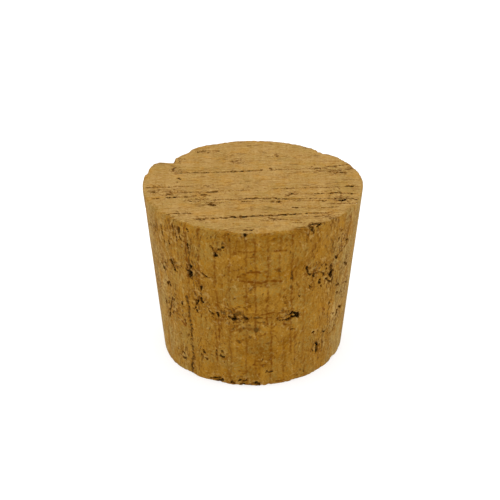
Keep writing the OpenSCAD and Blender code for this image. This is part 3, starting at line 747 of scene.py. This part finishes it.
# The whole skin: how deep it swells, is grainy and is crumbly, and the size of the lumps of each
SWELL = (0.05, 8.0)
GRAIN_RELIEF = (0.03, 1.0)
CRUMB_RELIEF = (0.14, 0.75)
CRUMB_SEED = 11.0
# Marks wander and have ragged lips: size and reach of the wander, then of the ripple on it
WANDER = (1.6, 0.16)
RIPPLE = (0.5, 0.13)
RIPPLE_SEED = 7.0
RAGGED = 0.8
RAGGED_LUMPS = 0.6
RAGGED_SEED = 3.0
# A mark is darkest inside CORE from its edge, and its darkness ends at HALO
HALO = 0.22
CORE = -0.06
PIT_SOFT = 0.14
STAIN_SOFT = 0.32
# Crumbs round open pits: how far they reach, how many there may be, and the depth of pit that has the most
CRUMB_REACH = 1.3
CRUMB_MOST = 0.8
CRUMB_DEPTH = 0.7
ZONE_CRUMB = 0.62
ZONE_FALL = 1.6
PATCH_FALL = 1.4
# The pale sawn face: how softly it ends, and how the rim outside it is rounded off
SAWN_REACH = 3.0
RIM_ROUND = 0.22
RIM_WIDTH = 0.35


def inward(points):
    """The way into the cork at each point of the blank, turning smoothly over the edges."""
    radius = np.maximum(np.hypot(points[:, 0], points[:, 1]), TINY)
    side = np.stack([-points[:, 0] / radius, -points[:, 1] / radius, np.zeros(len(points))], axis=1)
    up = ((points[:, 2] - (HEIGHT - EDGE_TURN)) / EDGE_TURN).clip(0, 1)
    down = ((EDGE_TURN - points[:, 2]) / EDGE_TURN).clip(0, 1)
    to_rim = ((radius - (flank_r(points[:, 2]) - EDGE_TURN)) / EDGE_TURN).clip(0, 1)
    way = side * to_rim[:, None]
    way[:, 2] = down - up
    return way / np.linalg.norm(way, axis=1)[:, None]


def patches(points):
    """How much paler (+) or darker (-) each point is, for lying in one of the flank's patches."""
    azimuth, radius = azimuth_and_radius(points)
    on_skin = radius > flank_r(points[:, 2]) - EDGE_TURN
    pale = np.zeros(len(points))
    for middle, z, half_width, half_height, strength in FLANK_PATCHES:
        aside = np.radians(azimuth - middle) * radius / half_width
        away = np.hypot(aside, (points[:, 2] - z) / half_height)
        pale += strength * (PATCH_FALL - PATCH_FALL * away).clip(0, 1) * on_skin
    return pale


def mark_skin(points, marks):
    """How dark, how stained, how deep and how crumbly the marks make each point."""
    ragged = wander(wander(points, *WANDER), *RIPPLE, RIPPLE_SEED)
    uneven = lumps(points, RAGGED_LUMPS, RAGGED_SEED)
    shade, stain, depth, crumb = np.zeros((4, len(points)))
    for mark, near, away in near_marks(marks, ragged, CRUMB_REACH):
        away = away + RAGGED * mark.width * uneven[near]
        if mark.stain:
            stain[near] = np.maximum(stain[near], mark.dark * (0.5 - away / STAIN_SOFT).clip(0, 1))
            continue
        full = ((HALO - away) / (HALO - CORE)).clip(0, 1)
        shade[near] = np.maximum(shade[near], mark.dark * full)
        cut = (0.5 - away / PIT_SOFT).clip(0, 1)
        depth[near] = np.maximum(depth[near], mark.depth * cut * cut * (3 - 2 * cut))
        if mark.depth > OPEN_DEPTH:
            loose = (1 - away / CRUMB_REACH).clip(0, 1) * min(CRUMB_MOST, mark.depth / CRUMB_DEPTH)
            crumb[near] = np.maximum(crumb[near], loose)
    zones = [(on_flank(azimuth, z), reach) for azimuth, z, reach in FLANK_CRUMBS]
    zones += [(on_large_end(x, y), reach) for x, y, reach in END_CRUMBS]
    for middle, reach in zones:
        away = np.linalg.norm(points - middle, axis=1)
        crumb = np.maximum(crumb, ZONE_CRUMB * (ZONE_FALL - ZONE_FALL * away / reach).clip(0, 1))
    return shade, stain, depth, crumb


def skin_relief(points, crumb):
    """How far the swells, the grain and the crumbs set each point in."""
    swell, swell_size = SWELL
    grain, grain_size = GRAIN_RELIEF
    loose, loose_size = CRUMB_RELIEF
    relief = swell * (0.1 + lumps(points, swell_size)).clip(0, 2)
    relief += grain * (0.1 + lumps(points, grain_size)).clip(0, 2)
    return relief + loose * crumb * (0.3 + lumps(points, loose_size, CRUMB_SEED)).clip(0, 2)


def sawn_face(points):
    """How far inside the sawn ends each point lies, 0 to 1, and how deep the rim outside them is rounded."""
    azimuth, radius = azimuth_and_radius(points)
    from_end = np.minimum(points[:, 2], HEIGHT - points[:, 2])
    short = read_round(SAWN_EDGE, azimuth) * (points[:, 2] > HEIGHT / 2)
    past_rim = flank_r(points[:, 2]) - radius - from_end - short
    sawn = (0.5 + past_rim / SAWN_REACH).clip(0, 1)
    worn = (1 - np.abs(past_rim + short) / (RIM_WIDTH + short)).clip(0, 1)
    return sawn, RIM_ROUND * (RIM_WIDTH + short) * worn


def carve(mesh, marks):
    """Cuts the marks into the skin, breaks the edges, and notes at each vertex what the finish needs."""
    points = np.array([v.co for v in mesh.vertices])
    shade, stain, depth, crumb = mark_skin(points, marks)
    sawn, rounding = sawn_face(points)
    depth += skin_relief(points, crumb) + rounding
    placed, broken = break_edges(points)
    placed = out_of_round(placed) + inward(points) * depth[:, None]
    mesh.vertices.foreach_set("co", (placed * MM).ravel())
    notes = {"shade": shade, "crumb": crumb, "broken": broken, "sawn_end": sawn, "stain": stain}
    notes["pale"] = patches(points)
    for name, values in notes.items():
        layer = mesh.attributes.new(name, "FLOAT", "POINT")
        layer.data.foreach_set("value", values.astype(np.float32))
    mesh.update()


def make_stopper():
    """The stopper's one piece, cut and carved."""
    rng = np.random.default_rng(SEED)
    marks = large_end_marks() + front_marks() + ring_marks_round_back(rng)
    marks += scattered_pits(rng, FLANK_CLUSTERS, "flank")
    marks += scattered_pits(rng, SMALL_END_CLUSTERS, "small end")
    mesh = blank_mesh()
    refine(mesh, marks)
    carve(mesh, marks)
    mesh.shade_smooth()
    piece = bpy.data.objects.new("cork_body", mesh)
    bpy.context.scene.collection.objects.link(piece)
    return piece


# ------------------------------------------------------------------ the finish
def tint(red, green, blue):
    """A finish colour from its 0 to 255 display values."""
    def linear(value):
        value = value / 255
        return value / 12.92 if value <= 0.04045 else ((value + 0.055) / 1.055) ** 2.4
    return (linear(red), linear(green), linear(blue), 1)


SAWN_LIGHT = tint(178, 145, 90)
SAWN_DEEP = tint(138, 98, 30)
FLANK_LIGHT = tint(162, 119, 45)
FLANK_DEEP = tint(118, 73, 0)
# Paler, greyer colours of the flank's left and right sides: partly the cork cut across its rings, partly a
# painted sheen of grazing light
SHEEN_BEIGE_LIGHT = tint(172, 144, 86)
SHEEN_BEIGE_DEEP = tint(126, 92, 34)
ASH = tint(142, 116, 56)
OCHRE = tint(168, 116, 24)
RUST = tint(108, 60, 4)
OLIVE = tint(76, 54, 18)
SOOT = tint(26, 17, 6)
CRUMB_LIGHT = tint(188, 154, 92)
SHEEN_TINT = tint(255, 214, 120)

# Clouds of noise: lumps this many millimetres across, or along each axis, then detail, roughness and a shift
CLOUDS = {
    "bend": (10.0, 2.0, 0.55, 0.0),
    "broad": (5.0, 3.0, 0.5, 0.0),
    "streak": ((3.4, 0.30, 2.4), 4.0, 0.65, 0.0),
    "rays": ((0.9, 16.0, 24.0), 2.0, 0.5, 4.0),
    "cells": (0.42, 3.0, 0.65, 0.0),
    "patchy": ((4.0, 1.6, 5.0), 3.0, 0.6, 30.0),
    "chips": (1.1, 3.0, 0.6, 9.0),
    "ochre": ((4.2, 3.0, 4.2), 3.0, 0.55, 33.0),
    "ash": (0.55, 3.0, 0.65, 2.0),
    "ash_zone": (5.5, 2.0, 0.5, 36.0),
    "seam": ((26.0, 1.2, 26.0), 2.0, 0.5, 5.0),
    "seam_gaps": (2.2, 2.0, 0.5, 6.0),
    "stain_gaps": ((1.2, 1.2, 2.4), 3.0, 0.6, 42.0),
    "dashes": ((1.7, 0.22, 1.3), 2.0, 0.5, 3.0),
    "dash_zone": ((12.0, 2.2, 12.0), 2.0, 0.5, 8.0),
    "gleam": ((2.6, 0.22, 2.0), 3.0, 0.6, 39.0),
    "fleck": (0.6, 3.0, 0.65, 12.0),
    "spark": (0.8, 3.0, 0.6, 15.0),
    "beads": (0.55, 2.0, 0.6, 18.0),
    "grit": (0.24, 2.0, 0.6, 21.0),
}
# The sum of clouds that makes the tone: its middle, and how far it goes to either side
TONE_MIDDLE = 3.38
TONE_HALF = 1.25


class Wiring:
    """Short ways to add and join shader nodes."""

    def __init__(self, tree):
        self.tree = tree

    def node(self, kind, **settings):
        made = self.tree.nodes.new(kind)
        for name, value in settings.items():
            setattr(made, name, value)
        return made

    def put(self, socket, value):
        if isinstance(value, bpy.types.NodeSocket):
            self.tree.links.new(value, socket)
        else:
            socket.default_value = value

    def sum(self, operation, a, b=0.0, c=0.0):
        made = self.node("ShaderNodeMath", operation=operation)
        for socket, value in zip(made.inputs, (a, b, c)):
            self.put(socket, value)
        return made.outputs[0]

    def scaled(self, value, factor, plus=0.0):
        return self.sum("MULTIPLY_ADD", value, factor, plus)

    def centred(self, value, factor):
        """Noise about 0.5, made to lie about 0 and this many times as strong."""
        return self.scaled(value, factor, -factor / 2)

    def step(self, value, low, high, top=1.0):
        """0 below low, rising smoothly to top at high."""
        made = self.node("ShaderNodeMapRange", interpolation_type="SMOOTHSTEP")
        for socket, given in zip(made.inputs, (value, low, high, 0.0, top)):
            self.put(socket, given)
        return made.outputs[0]

    def blend(self, share, a, b):
        made = self.node("ShaderNodeMix", data_type="RGBA")
        for socket, given in zip((made.inputs[0], made.inputs[6], made.inputs[7]), (share, a, b)):
            self.put(socket, given)
        return made.outputs[2]

    def split(self, vector):
        made = self.node("ShaderNodeSeparateXYZ")
        self.put(made.inputs[0], vector)
        return made.outputs

    def join(self, x, y, z):
        made = self.node("ShaderNodeCombineXYZ")
        for socket, value in zip(made.inputs, (x, y, z)):
            self.put(socket, value)
        return made.outputs[0]

    def clouds(self, place, name):
        """Noise about 0.5, with lumps of the size that the table gives."""
        size, detail, rough, shift = CLOUDS[name]
        sizes = size if isinstance(size, tuple) else (size, size, size)
        mapping = self.node("ShaderNodeMapping")
        self.put(mapping.inputs["Vector"], place)
        mapping.inputs["Scale"].default_value = [1 / s for s in sizes]
        mapping.inputs["Location"].default_value = (shift, 2 * shift, 3 * shift)
        made = self.node("ShaderNodeTexNoise")
        self.put(made.inputs["Vector"], mapping.outputs[0])
        made.inputs["Scale"].default_value = 1.0
        made.inputs["Detail"].default_value = detail
        made.inputs["Roughness"].default_value = rough
        return made.outputs[0]

    def attribute(self, name):
        return self.node("ShaderNodeAttribute", attribute_name=name).outputs["Fac"]


def cork_places(w):
    """Where a point lies in the cork, in millimetres, and where it lies with the growth rings laid flat."""
    scale = w.node("ShaderNodeVectorMath", operation="SCALE")
    w.put(scale.inputs[0], w.node("ShaderNodeTexCoord").outputs["Object"])
    scale.inputs["Scale"].default_value = 1 / MM
    place = scale.outputs[0]
    x, y, z = w.split(place)
    flat = w.scaled(x, -RING_RISE, y)
    flat = w.scaled(z, RING_TILT, flat)
    ring = w.scaled(w.clouds(place, "bend"), 2.4, flat)
    return place, w.join(x, ring, z)


def cork_tone(w, place, streak, cells):
    """Dark (0) to light (1): broad clouds, streaks along the rings, upright rays and the fine cells."""
    tone = w.scaled(w.clouds(place, "broad"), 0.5, w.scaled(w.attribute("pale"), 1.1))
    tone = w.scaled(streak, 2.6, tone)
    tone = w.scaled(w.clouds(place, "rays"), 0.9, tone)
    tone = w.scaled(cells, 2.7, tone)
    return w.step(tone, TONE_MIDDLE - TONE_HALF, TONE_MIDDLE + TONE_HALF)


def flank_colour_and_side_sheen(w, place, layers, tone):
    """The flank, paler and greyer towards its left and right sides (±X), where it cuts across the growth
    rings, than at the front and back, where it lies along them; this paler grey is partly a painted sheen of
    grazing light.
    """
    x, y, _ = w.split(place)
    radius = w.sum("SQRT", w.sum("MULTIPLY_ADD", x, x, w.sum("MULTIPLY", y, y)))
    # How far a point lies towards the left or right side: the painted sheen and the cross-cut colour grow
    # with it
    across = w.sum("DIVIDE", w.sum("ABSOLUTE", x), radius)
    across = w.sum("ADD", across, w.centred(w.clouds(layers, "patchy"), 1.3))
    sheen_beige = w.blend(w.step(tone, 0.15, 0.85), SHEEN_BEIGE_DEEP, SHEEN_BEIGE_LIGHT)
    return w.blend(w.step(across, 0.66, 1.0, 0.8), w.blend(tone, FLANK_DEEP, FLANK_LIGHT), sheen_beige)


def mottled(w, colour, place):
    """The colour with its orange clouds and its fine grey-olive speckle."""
    colour = w.blend(w.step(w.clouds(place, "ochre"), 0.48, 0.66, 0.32), colour, OCHRE)
    ash = w.sum("ADD", w.clouds(place, "ash"), w.centred(w.clouds(place, "ash_zone"), 0.6))
    return w.blend(w.step(ash, 0.47, 0.66, 0.5), colour, ASH)


def with_seams(w, colour, place, layers):
    """Thin brown lines where one growth ring ends, and the listed stained lines."""
    off_seam = w.sum("ABSOLUTE", w.scaled(w.clouds(layers, "seam"), 1.0, -0.5))
    in_parts = w.step(w.clouds(place, "seam_gaps"), 0.42, 0.6, 0.55)
    colour = w.blend(w.sum("MULTIPLY", w.step(off_seam, 0.022, 0.0), in_parts), colour, RUST)
    in_parts = w.step(w.clouds(place, "stain_gaps"), 0.30, 0.50)
    return w.blend(w.sum("MULTIPLY", w.attribute("stain"), in_parts), colour, RUST)


def with_dashes(w, colour, layers, dashes, on_end):
    """Short dark streaks that lie in the growth rings, and pale ones on the sawn ends."""
    colour = w.blend(w.step(dashes, 0.62, 0.69, 0.6), colour, RUST)
    colour = w.blend(w.step(dashes, 0.69, 0.76, 0.75), colour, OLIVE)
    gleam = w.sum("MULTIPLY", w.step(w.clouds(layers, "gleam"), 0.57, 0.70, 0.5), on_end)
    return w.blend(gleam, colour, CRUMB_LIGHT)


def with_crumbs(w, colour, place, crumb, cells):
    """Dark flecks and light crumbs round the pits, and the brown inside of what is broken off."""
    fleck = w.scaled(crumb, 0.20, w.clouds(place, "fleck"))
    colour = w.blend(w.step(fleck, 0.63, 0.72, 0.8), colour, RUST)
    colour = w.blend(w.step(fleck, 0.69, 0.78, 0.8), colour, OLIVE)
    spark = w.scaled(crumb, 0.12, w.clouds(place, "spark"))
    colour = w.blend(w.step(spark, 0.58, 0.70, 0.36), colour, CRUMB_LIGHT)
    inside = w.sum("MULTIPLY", w.attribute("broken"), w.step(cells, 0.35, 0.6, 0.7))
    return w.blend(inside, colour, RUST)


def inked_marks(w, place):
    """How dark the open marks are at each point, beaded and gritty along their length."""
    shade = w.attribute("shade")
    beads = w.scaled(w.clouds(place, "beads"), 4.4, -1.1)
    grit = w.sum("MULTIPLY", w.centred(w.clouds(place, "grit"), 1.6), w.step(shade, 0.0, 0.25))
    return w.sum("MULTIPLY_ADD", shade, beads, grit)


def with_open_marks(w, colour, inked):
    """The open marks: brown at the lip, sooty inside."""
    colour = w.blend(w.step(inked, 0.10, 0.36, 0.65), colour, RUST)
    colour = w.blend(w.step(inked, 0.36, 0.62, 0.85), colour, OLIVE)
    return w.blend(w.step(inked, 0.66, 0.95), colour, SOOT)


def cork_bump(w, streak, cells, dashes, inked):
    """A fine relief from the same clouds as the colour."""
    relief = w.scaled(cells, 0.9, w.scaled(streak, 0.8))
    relief = w.scaled(w.step(dashes, 0.62, 0.74), -0.5, relief)
    relief = w.scaled(w.step(inked, 0.2, 0.8), -0.7, relief)
    bump = w.node("ShaderNodeBump")
    bump.inputs["Strength"].default_value = 0.7
    bump.inputs["Distance"].default_value = 0.2 * MM
    w.put(bump.inputs["Height"], relief)
    return bump.outputs[0]


def cork_finish():
    """Natural cork: one solid pattern through the whole stopper, so that it meets over every edge."""
    material = bpy.data.materials.new("natural_cork")
    material.use_nodes = True
    w = Wiring(material.node_tree)
    shader = material.node_tree.nodes["Principled BSDF"]

    place, layers = cork_places(w)
    crumb = w.attribute("crumb")
    streak = w.clouds(layers, "streak")
    cells = w.clouds(place, "cells")
    dashes = w.sum("ADD", w.clouds(layers, "dashes"), w.centred(w.clouds(layers, "dash_zone"), 0.5))
    dashes = w.scaled(crumb, 0.08, dashes)
    inked = inked_marks(w, place)

    tone = cork_tone(w, place, streak, cells)
    chips = w.centred(w.clouds(place, "chips"), 0.75)
    on_end = w.step(w.sum("ADD", w.attribute("sawn_end"), chips), 0.47, 0.53)
    sawn = w.blend(tone, SAWN_DEEP, SAWN_LIGHT)
    colour = w.blend(on_end, flank_colour_and_side_sheen(w, place, layers, tone), sawn)
    colour = mottled(w, colour, place)
    colour = with_seams(w, colour, place, layers)
    colour = with_dashes(w, colour, layers, dashes, on_end)
    colour = with_crumbs(w, colour, place, crumb, cells)
    colour = with_open_marks(w, colour, inked)

    w.put(shader.inputs["Base Color"], colour)
    w.put(shader.inputs["Roughness"], w.scaled(cells, 0.3, 0.6))
    w.put(shader.inputs["Normal"], cork_bump(w, streak, cells, dashes, inked))
    shader.inputs["Specular IOR Level"].default_value = 0.06
    shader.inputs["Specular Tint"].default_value = SHEEN_TINT
    return material


# ------------------------------------------------------------------ the studio, in metres and watts
FLOOR_SIDE = 4.0
FLOOR_GREY = 0.45
FLOOR_GLOW = 0.62
WORLD_STRENGTH = 1.0
# Softboxes: name, place, side, power
SOFTBOXES = [
    ("top_softbox", (0.0, 0.1, 0.9), 0.9, 2.9),
    ("left_softbox", (-0.8, -0.05, 0.35), 0.6, 1.3),
    ("right_softbox", (0.8, -0.05, 0.35), 0.6, 1.3),
]


def add_floor():
    """A plain pale floor that the stopper stands on."""
    mesh = bpy.data.meshes.new("floor")
    half = FLOOR_SIDE / 2
    z = cad_box[0][2]
    corners = [(-half, -half, z), (half, -half, z), (half, half, z), (-half, half, z)]
    mesh.from_pydata(corners, [], [(0, 1, 2, 3)])
    floor = bpy.data.objects.new("floor", mesh)
    bpy.context.scene.collection.objects.link(floor)
    material = bpy.data.materials.new("pale_floor")
    material.use_nodes = True
    shader = material.node_tree.nodes["Principled BSDF"]
    shader.inputs["Base Color"].default_value = (FLOOR_GREY, FLOOR_GREY, FLOOR_GREY, 1)
    shader.inputs["Roughness"].default_value = 0.9
    shader.inputs["Specular IOR Level"].default_value = 0.0
    shader.inputs["Emission Color"].default_value = (1, 1, 1, 1)
    shader.inputs["Emission Strength"].default_value = FLOOR_GLOW
    mesh.materials.append(material)


def add_softbox(name, place, side, power):
    """A square softbox that faces the stopper's middle."""
    light = bpy.data.lights.new(name, "AREA")
    light.shape = "SQUARE"
    light.size = side
    light.energy = power
    lamp = bpy.data.objects.new(name, light)
    lamp.location = place
    aim = Vector((0, 0, HEIGHT * MM / 2)) - Vector(place)
    lamp.rotation_euler = aim.to_track_quat("-Z", "Y").to_euler()
    bpy.context.scene.collection.objects.link(lamp)


def add_lights():
    """Soft light from above and both sides, and a plain white world."""
    for name, place, side, power in SOFTBOXES:
        add_softbox(name, place, side, power)
    world = bpy.data.worlds.new("studio")
    world.use_nodes = True
    background = world.node_tree.nodes["Background"]
    background.inputs["Color"].default_value = (1, 1, 1, 1)
    background.inputs["Strength"].default_value = WORLD_STRENGTH
    bpy.context.scene.world = world
    bpy.context.scene.view_settings.view_transform = "Standard"


# The camera looks down on the stopper from in front: distance and lens in millimetres, elevation in degrees
CAMERA_AWAY = 278.4
CAMERA_UP = 28.4
CAMERA_LENS = 91.6
CAMERA_SHIFT = (-0.0054, 0.0254)
CAMERA_NEAR = 10.0


def add_camera():
    """The camera, aimed at the stopper's middle."""
    data = bpy.data.cameras.new("camera")
    data.lens = CAMERA_LENS
    data.shift_x, data.shift_y = CAMERA_SHIFT
    data.clip_start = CAMERA_NEAR * MM
    camera = bpy.data.objects.new("camera", data)
    up = math.radians(CAMERA_UP)
    middle = Vector((0, 0, HEIGHT / 2))
    camera.location = (middle + CAMERA_AWAY * Vector((0, -math.cos(up), math.sin(up)))) * MM
    camera.rotation_euler = (math.pi / 2 - up, 0, 0)
    bpy.context.scene.collection.objects.link(camera)
    bpy.context.scene.camera = camera


stopper = make_stopper()
stopper.data.materials.append(cork_finish())
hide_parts("stopper")
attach(stopper, "root")

add_floor()
add_lights()
add_camera()

bpy.context.view_layer.update()
